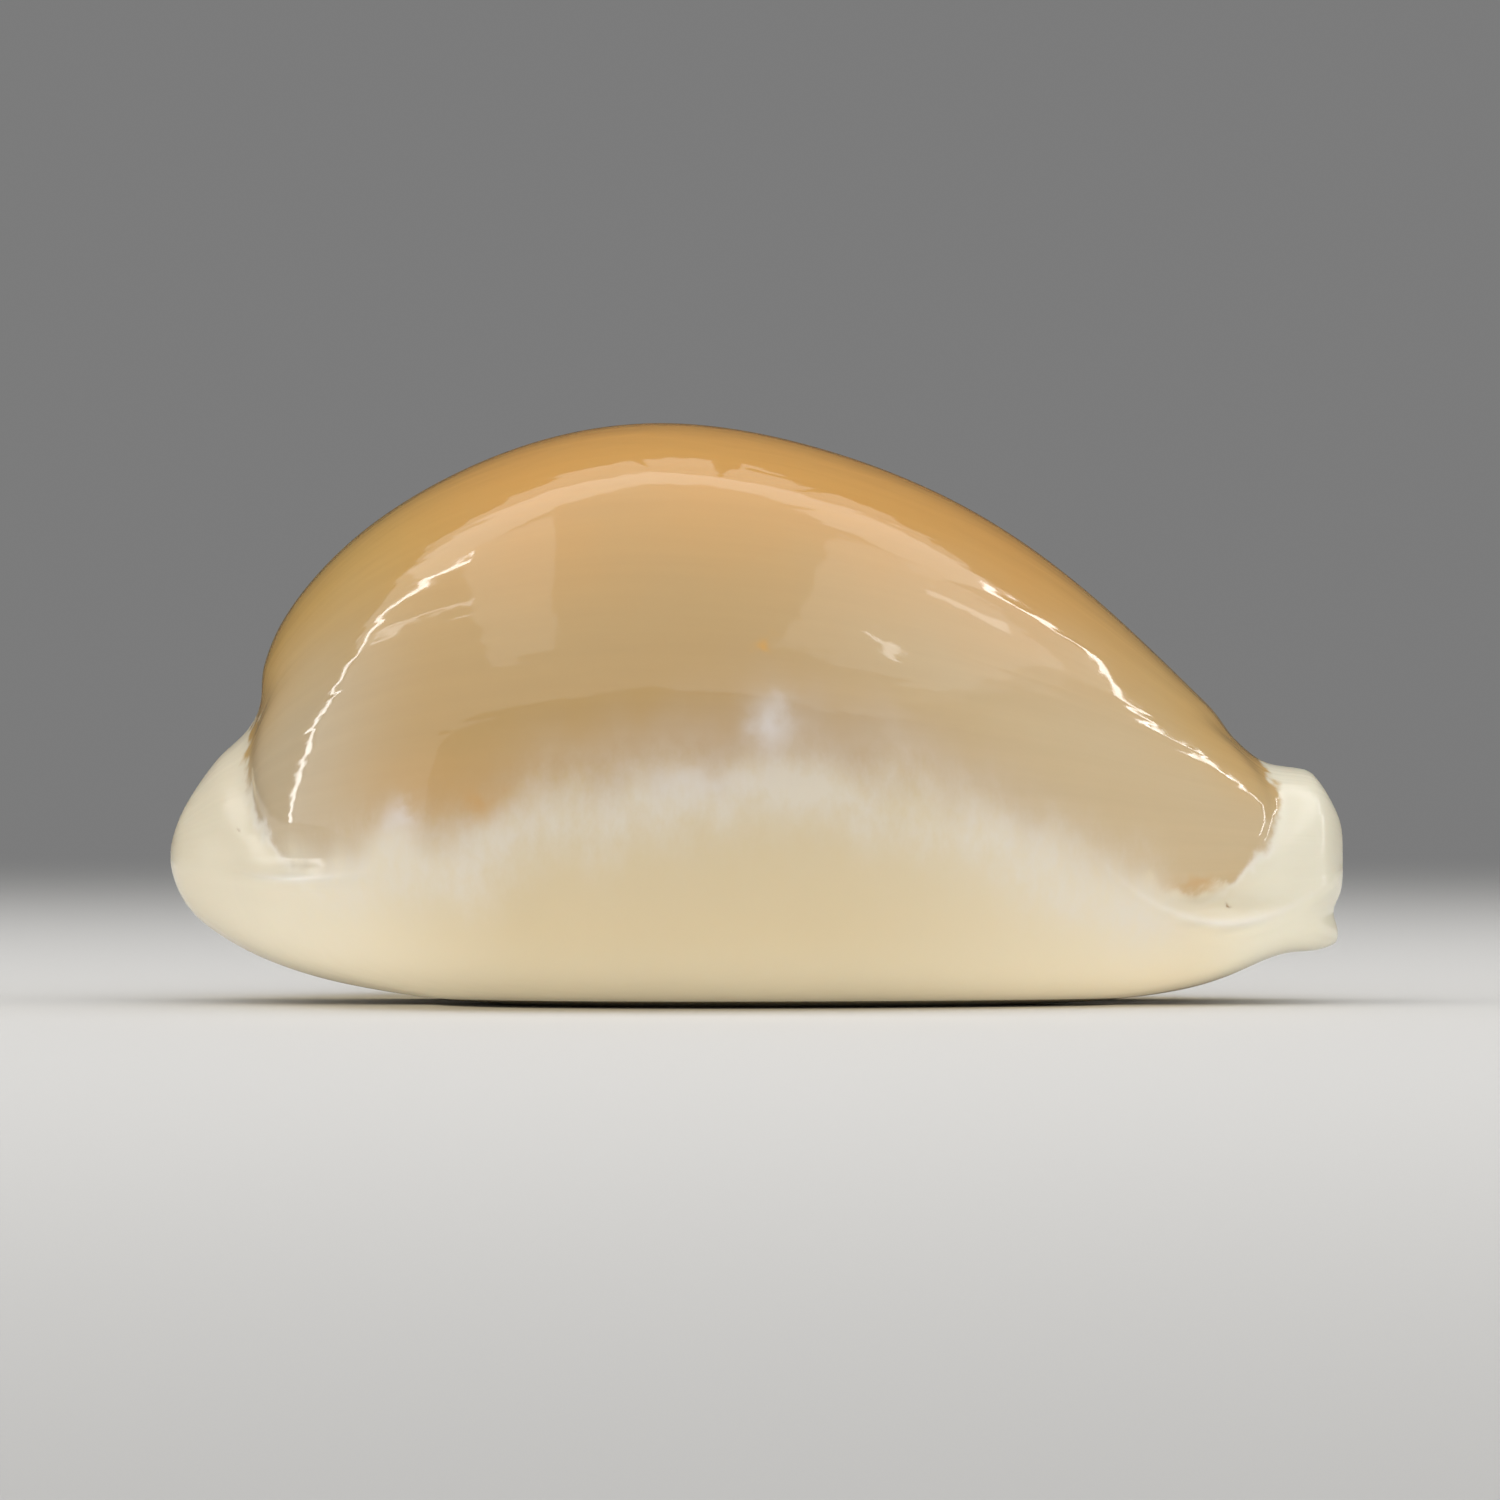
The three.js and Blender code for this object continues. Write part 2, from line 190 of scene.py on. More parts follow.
# The haze lies just below the glaze's edge and ends short of the end lobes. The lilac veil lies above the
# edge, round the middle of the side
HAZE_BAND = dict(middle=-1.6, spread=2.6)
HAZE_CLOUDS = 1.2
HAZE_LIMIT = 0.66
HAZE_REAR_SPAN = (-29.0, -24.0)
HAZE_FRONT_SPAN = (27.0, 22.0)
LILAC_BAND = dict(middle=1.8, spread=2.2)
LILAC_PLACE = dict(middle=1.0, spread=13.0)
LILAC_STRENGTH = 0.4

# White flakes along the edges of the end lobes, at these heights
REAR_FLAKES = dict(middle=10.3, spread=2.4)
FRONT_FLAKES = dict(middle=8.4, spread=2.0)
FLAKE_WIDTH = 0.4
FLAKE_STRENGTH = 0.6

# Colours, as linear red, green and blue
BACK_ORANGE = (0.62, 0.335, 0.10)
BACK_OLIVE = (0.58, 0.36, 0.115)
SIDE_TAN = (0.50, 0.325, 0.13)
FRONT_TAN = (0.57, 0.43, 0.245)
FRONT_BACK_TAN = (0.57, 0.365, 0.14)
REAR_TAN = (0.53, 0.42, 0.27)
CREAM = (0.64, 0.52, 0.32)
BASE_CREAM = (0.64, 0.555, 0.385)
FRONT_CREAM = (0.75, 0.65, 0.46)
LOBE_CREAM = (0.77, 0.69, 0.52)
FLANGE_CREAM = (0.78, 0.73, 0.58)
HAZE_WHITE = (0.71, 0.66, 0.58)
LILAC = (0.53, 0.44, 0.37)
PUFF_WHITE = (0.70, 0.65, 0.61)
SPOT_ORANGE = (0.62, 0.33, 0.07)
SPOT_BROWN = (0.56, 0.33, 0.12)
BASIN_ORANGE = (0.58, 0.37, 0.17)
# A darker tan painted low in the front hollow, just above its rim, as shade
BASIN_SHADE_TAN = (0.75, 0.66, 0.47)
# The white of the callus's flakes, and also of the highlight painted along the two rims
FLAKE_AND_HIGHLIGHT_WHITE = (0.84, 0.79, 0.70)
# Dark brown painted in the pits as shade
PIT_SHADE_BROWN = (0.30, 0.17, 0.06)

# Where a colour gives way to another along the shell: the x where that starts and where it is full
SIDE_CHANGES = [(-3.0, 20.0, FRONT_TAN), (-18.0, -28.0, REAR_TAN)]
BACK_CHANGES = [(-14.0, -25.0, BACK_OLIVE), (14.0, 26.0, FRONT_BACK_TAN)]
CALLUS_CHANGES = [(2.0, 26.0, FRONT_CREAM), (-12.0, -29.0, LOBE_CREAM), (25.0, 31.0, FLANGE_CREAM)]
# The back's orange starts and is full at these shares of the back's height, and the clouds shift them
ORANGE_SPAN = (0.62, 0.97)
ORANGE_CLOUDS = 0.16
# The base's cream starts and is full at these heights
BASE_CREAM_SPAN = (5.5, 0.5)
# How much the noises darken and lighten the dome and the callus
STREAK_SHADE = 0.12
CLOUD_SHADE = 0.06

# Puffs, spots and the orange tint of the front hollow, all on the lip side, with a darker tan painted low in
# that hollow as shade and dark brown painted in two pits as shade: x, z, length, height, strength and colour
MARKS = [
    (-20.4, 11.3, 0.9, 0.9, 0.75, PUFF_WHITE),
    (0.9, 16.6, 1.1, 1.5, 0.8, PUFF_WHITE),
    (-3.3, 13.2, 3.2, 1.0, 0.5, PUFF_WHITE),
    (0.6, 21.2, 0.42, 0.36, 0.85, SPOT_ORANGE),
    (-18.0, 13.2, 4.5, 1.9, 0.4, SPOT_BROWN),
    (-15.9, 12.1, 1.2, 0.75, 0.75, SPOT_BROWN),
    (25.9, 7.2, 1.3, 0.45, 0.8, BASIN_ORANGE),
    # A darker tan painted low in the front hollow as shade
    (28.2, 5.75, 2.6, 0.45, 0.6, BASIN_SHADE_TAN),
    # Dark brown painted in two pits as shade
    (27.8, 5.9, 0.18, 0.14, 0.9, PIT_SHADE_BROWN),
    (-30.5, 10.3, 0.14, 0.16, 0.4, PIT_SHADE_BROWN),
]

# Gloss, and how far light goes under the surface in each colour
SHELL_IOR = 1.53
GLAZE_ROUGHNESS = 0.055
CALLUS_ROUGHNESS = 0.21
UNEVEN_ROUGHNESS = 0.03
SUBSURFACE_WEIGHT = 0.12
SUBSURFACE_COLOURS = (1.0, 0.6, 0.35)
SUBSURFACE_DEPTH = 1.2

# Fine relief: the glaze's long swells and small steps, the thin rims where the callus ends at the two ends,
# and the callus's unevenness. The steps lie where their noise passes through the span, which has no unit
SWELL_HEIGHT = 0.035
TERRACE_HEIGHT = 0.008
TERRACE_SPAN = (0.42, 0.58)
RIPPLED_EDGE_SPAN = (-1.5, 1.0)
RIPPLED_PLACE = dict(middle=0.0, spread=45.0)
REAR_RIM = dict(x=-26.9, z=7.6, bend=0.02, height=0.08, width=0.25, reach=2.6)
FRONT_RIM = dict(x=27.8, z=4.9, bend=0.063, height=0.08, width=0.25, reach=4.5)
# How strongly a white highlight is painted along the rims
RIM_HIGHLIGHT_STRENGTH = 0.7
CALLUS_HEIGHT = 0.03

# Studio, in metres and in shares of the picture's white
TENT_HEIGHT = 0.50
TENT_LEFT = -0.70
TENT_RIGHT = 0.60
TENT_FRONT = -0.70
TENT_BACK = 0.23
LEFT_WALL_BACK = 0.16
RIGHT_WALL_BACK = 0.14
CEILING_BRIGHTNESS = 1.18
FRONT_BRIGHTNESS = 0.44
LEFT_BRIGHTNESS = 1.1
RIGHT_BRIGHTNESS = 0.8
# A brighter arc under the back of the ceiling, from corner to corner
CEILING_ARC = [(-0.38, 0.155, 0.49), (-0.02, 0.24, 0.49), (0.06, 0.247, 0.49), (0.13, 0.232, 0.49),
               (0.20, 0.20, 0.49), (0.34, 0.13, 0.49)]
CEILING_ARC_WIDTH = 0.17
CEILING_ARC_BRIGHTNESS = 1.0
# More panels under the ceiling: start, end, width across and brightness
CEILING_PANELS = [
    ((-0.26, -0.40, 0.49), (-0.22, 0.10, 0.49), 0.14, 0.7),
    ((0.38, -0.40, 0.49), (0.36, 0.08, 0.49), 0.34, 0.7),
    ((0.31, -0.235, 0.485), (0.39, -0.29, 0.485), 0.02, 4.0),
    ((0.31, 0.0, 0.485), (0.43, 0.04, 0.485), 0.03, 2.0),
    ((-0.60, 0.13, 0.485), (-0.30, -0.10, 0.485), 0.012, 3.0),
]
# Narrow strips along the edges of the tent, each from corner to corner
LEFT_STRIP = [(-0.68, 0.17, 0.0), (-0.68, 0.18, 0.46), (-0.43, 0.14, 0.48), (-0.27, 0.07, 0.48)]
RIGHT_STRIP = [(0.58, 0.0, 0.05), (0.58, 0.19, 0.30), (0.58, 0.12, 0.46), (0.50, 0.27, 0.48),
               (0.35, 0.18, 0.48)]
STRIP_WIDTH = 0.018
STRIP_BRIGHTNESS = 9.0
# A panel far behind the shell, and two just over the floor under its base. Its gloss mirrors none of them
BACK_FILL = 0.9
BACK_FILL_HALF_LENGTH = 0.4
BACK_FILL_WIDTH = 0.5
BACK_FILL_Y = 0.9
BACK_FILL_HEIGHT = 0.6
LOW_FILL = 0.55
LOW_FILL_HALF_LENGTH = 0.042
LOW_FILL_MIDDLE = 0.028
LOW_FILL_WIDTH = 0.044
LOW_FILL_HEIGHT = 0.0004
# The floor, and how far from the middle it starts and ends to fade into the backdrop
FLOOR_REACH = 3.0
FLOOR_COLOUR = (0.66, 0.65, 0.63)
FLOOR_ROUGHNESS = 0.7
FADE_START = 0.06
FADE_END = 0.75
BACKDROP_GREY = (0.20, 0.20, 0.20)
SURROUND_GREY = (0.04, 0.04, 0.04)


def smooth_line(values, places):
    """A smooth curve through evenly numbered values, with no bend at its two ends."""
    values = np.array(values, float)
    last = len(values) - 1
    system = np.eye(last + 1)
    turns = np.zeros(last + 1)
    for i in range(1, last):
        system[i, i - 1:i + 2] = (1, 4, 1)
        turns[i] = 6 * (values[i + 1] - 2 * values[i] + values[i - 1])
    bend = np.linalg.solve(system, turns)
    i = np.clip(np.floor(places).astype(int), 0, last - 1)
    t = places - i
    r = 1 - t
    straight = r * values[i] + t * values[i + 1]
    return straight + ((r ** 3 - r) * bend[i] + (t ** 3 - t) * bend[i + 1]) / 6


def smooth_lines(points, places):
    return [smooth_line(column, places) for column in zip(*points)]


def smooth_step(low, high, value):
    t = np.clip((value - low) / (high - low), 0, 1)
    return t * t * (3 - 2 * t)


def bell(value, middle, spread):
    return np.exp(-((value - middle) / spread) ** 2)


def station_at(x):
    """The station where the base line passes a given x."""
    places = np.linspace(0, LAST_STATION, STATION_SAMPLES)
    return np.interp(x, smooth_lines(BASE_LINE, places)[0], places)


def row_stations():
    """Rows of the mesh: close together round the rims, and evenly along the teeth."""
    turn = np.arange(RIM_ROWS) / RIM_ROWS * math.pi / 2
    rim = RIM_ROUNDING * (1 - np.cos(turn))
    start, end = station_at(TEETH_REAR), station_at(TEETH_FRONT)
    rear = np.linspace(RIM_ROUNDING, start, END_ROWS, endpoint=False)
    front = np.linspace(LAST_STATION - RIM_ROUNDING, end, END_ROWS, endpoint=False)[::-1]
    toothed = station_at(np.linspace(TEETH_REAR, TEETH_FRONT, TEETH * ROWS_PER_TOOTH + 1))
    return np.concatenate([rim, rear, toothed, front, (LAST_STATION - rim)[::-1]])


def face_columns(rounded):
    """Shares, swells and parts of one side's columns, from the slit's edge to just below the back line."""
    turn = np.arange(ROUND_COLUMNS) / ROUND_COLUMNS * math.pi / 2
    edge = rounded[:, None] * (1 - np.cos(turn))
    along = (np.arange(BASE_COLUMNS) / BASE_COLUMNS) ** BASE_COLUMN_GROWTH
    base = rounded[:, None] + (1 - rounded[:, None]) * along
    back = np.tile(np.arange(BACK_COLUMNS) / BACK_COLUMNS, (len(rounded), 1))
    swell = np.concatenate([np.sin(turn), np.ones(BASE_COLUMNS + BACK_COLUMNS)])
    on_base = np.arange(len(swell)) < ROUND_COLUMNS + BASE_COLUMNS
    return np.hstack([edge, base, back]), swell, on_base


def face_points(stations, shares, on_base, side, inner):
    """Points of the outer or inner face on one side: -1 is the outer lip and 1 the columella."""
    back_x, back_z = smooth_lines(BACK_LINE, stations)
    margin_x, margin_w, margin_z = smooth_lines(MARGIN_LINE, stations)
    base_x, base_z = smooth_lines(BASE_LINE, stations)
    middle_y, slit_y, slit_half = smooth_lines(MIDDLE_LINE, stations)
    if inner:
        back_wall, margin_wall, base_wall = smooth_lines(WALL_LINE, stations)
        whorl = bell(stations, WHORL_MIDDLE, WHORL_SPREAD) if side > 0 else 0
        back_z = back_z - back_wall
        base_z = base_z + base_wall
        margin_w = margin_w - margin_wall - WHORL_THICKNESS * whorl
        margin_z = margin_z + WHORL_RISE * whorl
    margin_y = middle_y + side * margin_w
    edge_y = slit_y + side * slit_half
    back_x, back_z, margin_x, margin_w, margin_z, base_x, base_z, middle_y, margin_y, edge_y = (
        line[:, None] for line in
        (back_x, back_z, margin_x, margin_w, margin_z, base_x, base_z, middle_y, margin_y, edge_y))
    up = shares * math.pi / 2
    rise, run = np.sin(up), np.cos(up)
    back = np.stack([
        margin_x + (back_x - margin_x) * rise ** BACK_LEAN,
        middle_y + side * margin_w * run * (1 + BACK_FULLNESS * rise ** 2),
        margin_z + (back_z - margin_z) * rise * (1 + BACK_FULLNESS * run ** 2),
    ], axis=2)
    down = (1 - shares) * math.pi / 2
    drop, reach = np.sin(down), np.cos(down)
    base = np.stack([
        margin_x + (base_x - margin_x) * drop ** 2,
        edge_y + (margin_y - edge_y) * reach * (1 + BASE_FULLNESS * drop ** 2),
        margin_z + (base_z - margin_z) * drop * (1 + BASE_FULLNESS * reach ** 2),
    ], axis=2)
    return np.where(on_base[None, :, None], base, back)


def wall_loops(stations):
    """The closed loop round the wall at every station: the outer face, then back along the inner one."""
    _, margin_w, _ = smooth_lines(MARGIN_LINE, stations)
    _, _, slit_half = smooth_lines(MIDDLE_LINE, stations)
    rounded = LIP_ROUNDING / ((margin_w - slit_half) * (1 + BASE_FULLNESS) * math.pi / 2)
    shares, swell, on_base = face_columns(np.minimum(LARGEST_ROUNDED_SHARE, rounded))
    top = np.ones((len(stations), 1))
    side_shares = np.hstack([shares, top])
    side_parts = np.append(on_base, False)
    faces = {}
    for inner in (False, True):
        lip = face_points(stations, side_shares, side_parts, -1, inner)
        columella = face_points(stations, shares, on_base, 1, inner)[:, ::-1]
        faces[inner] = np.concatenate([lip, columella], axis=1)
    nearest = np.minimum(stations, LAST_STATION - stations)
    rim_swell = np.sqrt(1 - np.clip(1 - nearest / RIM_ROUNDING, 0, 1) ** 2)
    swells = np.concatenate([swell, [1.0], swell[::-1]])
    opening = rim_swell[:, None] * swells[None, :]
    middle = (faces[False] + faces[True]) / 2
    outer = middle + (faces[False] - middle) * opening[:, :, None]
    inner = middle + (faces[True] - middle) * opening[:, :, None]
    sides = np.concatenate([-np.ones(len(swell) + 1), np.ones(len(swell))])
    bases = np.concatenate([on_base, [False], on_base[::-1]])
    # The loop comes back along the inner face, without the two edge points, where both faces meet
    ring = slice(-2, 0, -1)
    loops = np.concatenate([outer, inner[:, ring]], axis=1)
    side = np.concatenate([sides, sides[ring]])
    base = np.concatenate([bases, bases[ring]])
    is_inner = np.concatenate([np.zeros(len(sides), bool), np.ones(len(sides) - 2, bool)])
    return loops, side, base, is_inner, rim_swell


def furrow(point, x, z, bend, depth, width, bottom, top, fade):
    line_x = x + bend * (point[..., 2] - z) ** 2
    low_end = smooth_step(bottom, bottom + fade, point[..., 2])
    high_end = 1 - smooth_step(top - fade, top, point[..., 2])
    return -depth * bell(point[..., 0], line_x, width) * low_end * high_end


def dent(point, x, z, length, height, depth):
    return -depth * bell(point[..., 0], x, length) * bell(point[..., 2], z, height)


def ridge(point, x, z, bend, height, width, reach):
    line_z = z + bend * (point[..., 0] - x) ** 2
    return height * bell(point[..., 2], line_z, width) * bell(point[..., 0], x, reach)


def nick(point, z, height, depth, start, full):
    return depth * bell(point[..., 2], z, height) * smooth_step(start, full, point[..., 0])


def tooth_valleys(stations, loops, side, base, is_inner):
    """Depth of the valleys between the teeth, in front of and behind the slit's edge."""
    base_x, _ = smooth_lines(BASE_LINE, stations)
    _, slit_y, slit_half = smooth_lines(MIDDLE_LINE, stations)
    turns = (base_x - TEETH_REAR) / (TEETH_FRONT - TEETH_REAR) * TEETH
    valley = ((1 + np.cos(2 * math.pi * turns)) / 2) ** VALLEY_SHARPNESS
    valley = np.where((turns >= 0) & (turns <= TEETH), valley, 0)
    from_middle = np.abs(2 * turns / TEETH - 1)
    shortening = TOOTH_SHORTENING * smooth_step(SHORTENING_START, SHORTENING_END, from_middle)
    outer_reach = np.where(side < 0, LIP_TOOTH_REACH, COLUMELLA_TOOTH_REACH)
    reach = np.where(is_inner, INNER_TOOTH_REACH, outer_reach * (1 - shortening[:, None]))
    from_edge = np.abs(loops[..., 1] - slit_y[:, None]) - slit_half[:, None]
    fade = 1 - smooth_step(reach / 2, reach, from_edge)
    return TOOTH_DEPTH * valley[:, None] * fade * base[None, :]


def shell_points():
    """All the points of the shell, row by row, and which columns belong to its inner face."""
    stations = row_stations()
    loops, side, base, is_inner, rim_swell = wall_loops(stations)
    relief = sum(furrow(loops, **shape) for shape in (REAR_FURROW, FRONT_FURROW))
    relief += sum(dent(loops, **shape) for shape in (REAR_DENT, FRONT_DENT))
    relief += sum(ridge(loops, **shape) for shape in (REAR_RIDGE, FRONT_RIDGE))
    relief = relief * rim_swell[:, None] * ~is_inner[None, :]
    relief -= tooth_valleys(stations, loops, side, base, is_inner)
    along = np.zeros_like(loops)
    along[1:-1] = loops[2:] - loops[:-2]
    around = np.roll(loops, -1, axis=1) - np.roll(loops, 1, axis=1)
    outward = np.cross(along, around)
    length = np.linalg.norm(outward, axis=2, keepdims=True)
    outward = np.divide(outward, length, out=np.zeros_like(outward), where=length > 0)
    points = loops + outward * relief[:, :, None]
    points[..., 0] -= nick(loops, **FRONT_NICK)
    low = points[..., 2]
    points[..., 2] = (low + np.sqrt(low ** 2 + FLAT_SOFTNESS ** 2)) / 2
    return points * INSIDE_FIT, is_inner


def shell_mesh():
    """One closed mesh. The inner face keeps every second column, and its first strip at each rim has
    five-sided faces that meet the outer face's columns."""
    points, is_inner = shell_points()
    rows, around, _ = points.shape
    outer_count = int((~is_inner).sum())
    across = outer_count - 1
    number = np.full((rows, around), -1)
    keep = ~is_inner.copy()
    keep[outer_count + 1::2] = True
    vertices = []
    for row in range(rows):
        for column in range(around):
            on_rim = row in (0, rows - 1)
            if not keep[column] or (on_rim and is_inner[column]):
                continue
            number[row, column] = len(vertices)
            vertices.append(points[row, column] * MM)
    # At the rims an inner column is the outer column that it meets
    for row in (0, rows - 1):
        for column in range(outer_count, around):
            number[row, column] = number[row, 2 * across - column]
    faces = []
    inner_columns = [across] + [c for c in range(outer_count, around) if keep[c]] + [around]
    for row in range(rows - 1):
        for column in range(across):
            faces.append([number[row, column], number[row + 1, column],
                          number[row + 1, column + 1], number[row, column + 1]])
        for first, second in zip(inner_columns, inner_columns[1:]):
            first_side = [number[row, c % around] for c in range(first, second + 1)
                          if row == 0 or c in (first, second)]
            second_side = [number[row + 1, c % around] for c in range(first, second + 1)
                           if row + 1 == rows - 1 or c in (first, second)]
            faces.append(first_side[:1] + second_side + first_side[:0:-1])
    mesh = bpy.data.meshes.new("shell_surface")
    mesh.from_pydata([tuple(v) for v in vertices], [], [[int(v) for v in face] for face in faces])
    mesh.validate()
    mesh.polygons.foreach_set("use_smooth", [True] * len(mesh.polygons))
    mesh.update()
    return mesh


class Nodes:
    """Short ways to add and join the nodes of one material."""

    def __init__(self, name):
        self.material = bpy.data.materials.new(name)
        self.material.use_nodes = True
        self.tree = self.material.node_tree
        self.shader = self.tree.nodes["Principled BSDF"]

    def put(self, value, socket):
        if isinstance(value, bpy.types.NodeSocket):
            self.tree.links.new(value, socket)
        else:
            socket.default_value = value

    def math(self, operation, first, second=0.0):
        node = self.tree.nodes.new("ShaderNodeMath")
        node.operation = operation
        for socket, value in zip(node.inputs, (first, second)):
            self.put(value, socket)
        return node.outputs[0]

    def add(self, first, second):
        return self.math("ADD", first, second)

    def subtract(self, first, second):
        return self.math("SUBTRACT", first, second)

    def multiply(self, first, second):
        return self.math("MULTIPLY", first, second)

    def smooth(self, value, low, high):
        """0 below low and 1 above high, with a soft change between them. low may be the larger."""
        node = self.tree.nodes.new("ShaderNodeMapRange")
        node.interpolation_type = "SMOOTHSTEP"
        rising = low < high
        self.put(value, node.inputs["Value"])
        node.inputs["From Min"].default_value = min(low, high)
        node.inputs["From Max"].default_value = max(low, high)
        node.inputs["To Min"].default_value = 0.0 if rising else 1.0
        node.inputs["To Max"].default_value = 1.0 if rising else 0.0
        return node.outputs["Result"]

    def bump_of(self, value, middle, spread):
        """1 at middle, falling to 0 on both sides."""
        off = self.math("DIVIDE", self.subtract(value, middle), spread)
        return self.math("EXPONENT", self.multiply(self.multiply(off, off), -1.0))

    def bent_line(self, value, middle, start, bend):
        """A line at start where the value is at middle, bending off on both sides of it."""
        off = self.subtract(value, middle)
        return self.add(start, self.multiply(self.multiply(off, off), bend))

    def vector(self, x, y, z):
        node = self.tree.nodes.new("ShaderNodeCombineXYZ")
        for socket, value in zip(node.inputs, (x, y, z)):
            self.put(value, socket)
        return node.outputs[0]

    def noise(self, vector, scale, detail, roughness):
        """A noise of about 0 to 1 round its mean."""
        node = self.tree.nodes.new("ShaderNodeTexNoise")
        self.put(vector, node.inputs["Vector"])
        node.inputs["Scale"].default_value = scale
        node.inputs["Detail"].default_value = detail
        node.inputs["Roughness"].default_value = roughness
        return node.outputs["Fac"]

    def swing(self, noise, amount):
        """A noise made to run as far below 0 as above it, over the amount in all."""
        return self.multiply(self.subtract(noise, NOISE_MEAN), amount)

    def curve(self, value, points, low, high, top):
        """A smooth line through points, given for values from low to high and heights from 0 to top."""
        node = self.tree.nodes.new("ShaderNodeFloatCurve")
        line = node.mapping.curves[0]
        places = [((x - low) / (high - low), z / top) for x, z in points]
        while len(line.points) < len(places):
            line.points.new(*places[-1])
        for point, place in zip(line.points, places):
            point.location = place
        node.mapping.update()
        share = self.math("DIVIDE", self.subtract(value, low), high - low)
        self.put(share, node.inputs["Value"])
        return self.multiply(node.outputs[0], top)

    def mix(self, share, first, second):
        """The first colour where share is 0 and the second where it is 1."""
        node = self.tree.nodes.new("ShaderNodeMix")
        node.data_type = "RGBA"
        self.put(share, node.inputs["Factor"])
        first_socket, second_socket = [socket for socket in node.inputs if socket.type == "RGBA"]
        for value, socket in ((first, first_socket), (second, second_socket)):
            self.put(value if isinstance(value, bpy.types.NodeSocket) else (*value, 1.0), socket)
        return next(socket for socket in node.outputs if socket.type == "RGBA")

    def change(self, value, colour, changes):
        """A colour that gives way to others, each where the value goes from its start to its full place."""
        for start, full, next_colour in changes:
            colour = self.mix(self.smooth(value, start, full), colour, next_colour)
        return colour

    def scaled(self, vector, factor):
        """A place or a colour times a factor."""
        node = self.tree.nodes.new("ShaderNodeVectorMath")
        node.operation = "SCALE"
        self.put(vector, node.inputs[0])
        self.put(factor, node.inputs["Scale"])
        return node.outputs[0]

    def shade(self, colour, noise, amount):
        """The colour made darker and lighter by a noise."""
        return self.scaled(colour, self.add(1.0, self.swing(noise, amount)))


class ShellNodes(Nodes):
    """The nodes of the shell's material, with the places and noises that several of its parts share."""

    def __init__(self):
        super().__init__("shell_porcelain")
        place = self.tree.nodes.new("ShaderNodeTexCoord").outputs["Object"]
        self.millimetres = self.scaled(place, 1 / MM)
        split = self.tree.nodes.new("ShaderNodeSeparateXYZ")
        self.put(self.millimetres, split.inputs[0])
        self.x, self.y, self.z = split.outputs
        self.lip_side = self.smooth(self.y, *LIP_SIDE_SPAN)
        # Growth lines run along the shell, each at one angle about its long axis
        angle = self.math("ARCTAN2", self.y, self.subtract(self.z, MARGIN_HEIGHT))
        self.around = self.multiply(angle, MEAN_RADIUS)
        self.clouds = self.noise(self.millimetres, **CLOUDS)
        self.mottle = self.noise(self.millimetres, **MOTTLE)
        self.fibres = self.noise(self.place_times(FIBRE_FACTORS), **FIBRES)
        chips = self.noise(self.millimetres, **CHIPS)
        self.fray = self.add(self.swing(self.mottle, MOTTLE_FRAY), self.swing(chips, CHIP_FRAY))
        self.frayed_x = self.add(self.x, self.fray)

    def place_times(self, factors):
        """The place in millimetres, with each coordinate times a factor of its own."""
        coordinates = (self.x, self.y, self.z)
        return self.vector(*(self.multiply(value, factor) for value, factor in zip(coordinates, factors)))

    def growth_noise(self, x_factor, layer, **settings):
        """A noise that is drawn out along the growth lines."""
        place = self.vector(self.multiply(self.x, x_factor), self.around, layer)
        return self.noise(place, **settings)

    def along_shell(self, points):
        """A line that is given by its heights along the shell."""
        return self.curve(self.x, points, -HALF_LENGTH, HALF_LENGTH, TALLEST)


def dome_colour(n):
    """Orange along the back and tan down the sides, paler towards the front."""
    height = n.math("DIVIDE", n.z, n.along_shell(BACK_HEIGHTS))
    orange = n.smooth(n.add(height, n.swing(n.clouds, ORANGE_CLOUDS)), *ORANGE_SPAN)
    side = n.change(n.x, SIDE_TAN, SIDE_CHANGES)
    back = n.change(n.x, BACK_ORANGE, BACK_CHANGES)
    return n.shade(n.mix(orange, side, back), n.growth_noise(**STREAKS), STREAK_SHADE)


def callus_colour(n):
    """Cream for the margin, the base and the end lobes."""
    middle = n.mix(n.smooth(n.z, *BASE_CREAM_SPAN), CREAM, BASE_CREAM)
    return n.shade(n.change(n.x, middle, CALLUS_CHANGES), n.clouds, CLOUD_SHADE)


def glaze_share(n, above_edge):
    """1 on the glazed dome and 0 on the margin, by the height above the glaze's uneven edge."""
    frayed = n.add(above_edge, n.swing(n.fibres, FIBRE_SWING))
    soft_edge = n.smooth(frayed, *SOFT_EDGE_SPAN)
    crisp_edge = n.smooth(frayed, *CRISP_EDGE_SPAN)
    crispness = n.smooth(n.x, *CRISPNESS_SPAN)
    return n.add(n.multiply(soft_edge, n.subtract(1.0, crispness)), n.multiply(crisp_edge, crispness))


def lobe_line(n, x, top, groove):
    """The x where an end lobe ends on the dome, up to its top, on a line bent like the furrow beside it."""
    return n.bent_line(n.math("MINIMUM", n.z, top), groove["z"], x, groove["bend"])


